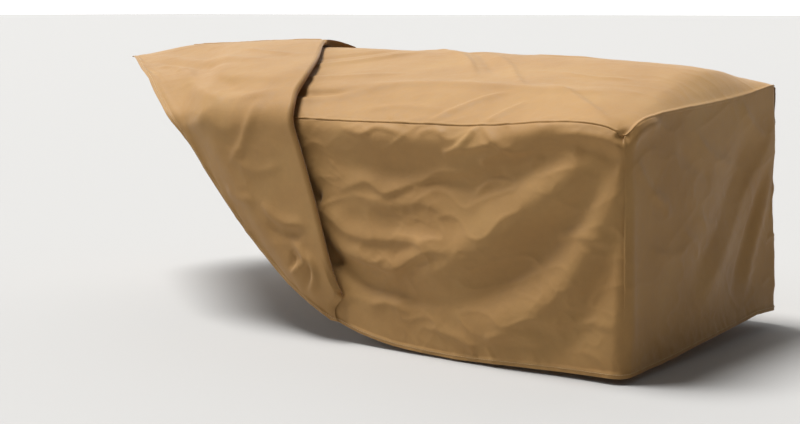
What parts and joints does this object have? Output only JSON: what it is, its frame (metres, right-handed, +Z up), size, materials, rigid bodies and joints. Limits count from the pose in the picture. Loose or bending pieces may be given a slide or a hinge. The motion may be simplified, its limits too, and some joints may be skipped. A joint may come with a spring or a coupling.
{
  "type": "outdoor sofa cover",
  "caption": "Fitted woven cover draped as over a three-seat outdoor sofa, hollow below, its left end turned back in one deep pleat.",
  "frame": {"origin": "on the underside of the top panel near its middle, where the sofa's back cushions carry the cover: the mount sofa_top", "axes": "+X along the sofa towards its fitted right end, as seen from in front; +Y from the sofa's front to its back; +Z up"},
  "size_m": [2.2586, 0.9913, 0.7991],
  "materials": {
    "top_panel_cloth": "matt coated woven polyester, tan",
    "front_skirt_cloth": "matt coated woven polyester, tan",
    "back_skirt_cloth": "matt coated woven polyester, tan"
  },
  "bodies": {
    "root": {"top_panel": "top_panel_cloth", "front_skirt": "front_skirt_cloth", "back_skirt": "back_skirt_cloth"}
  },
  "joints": []
}
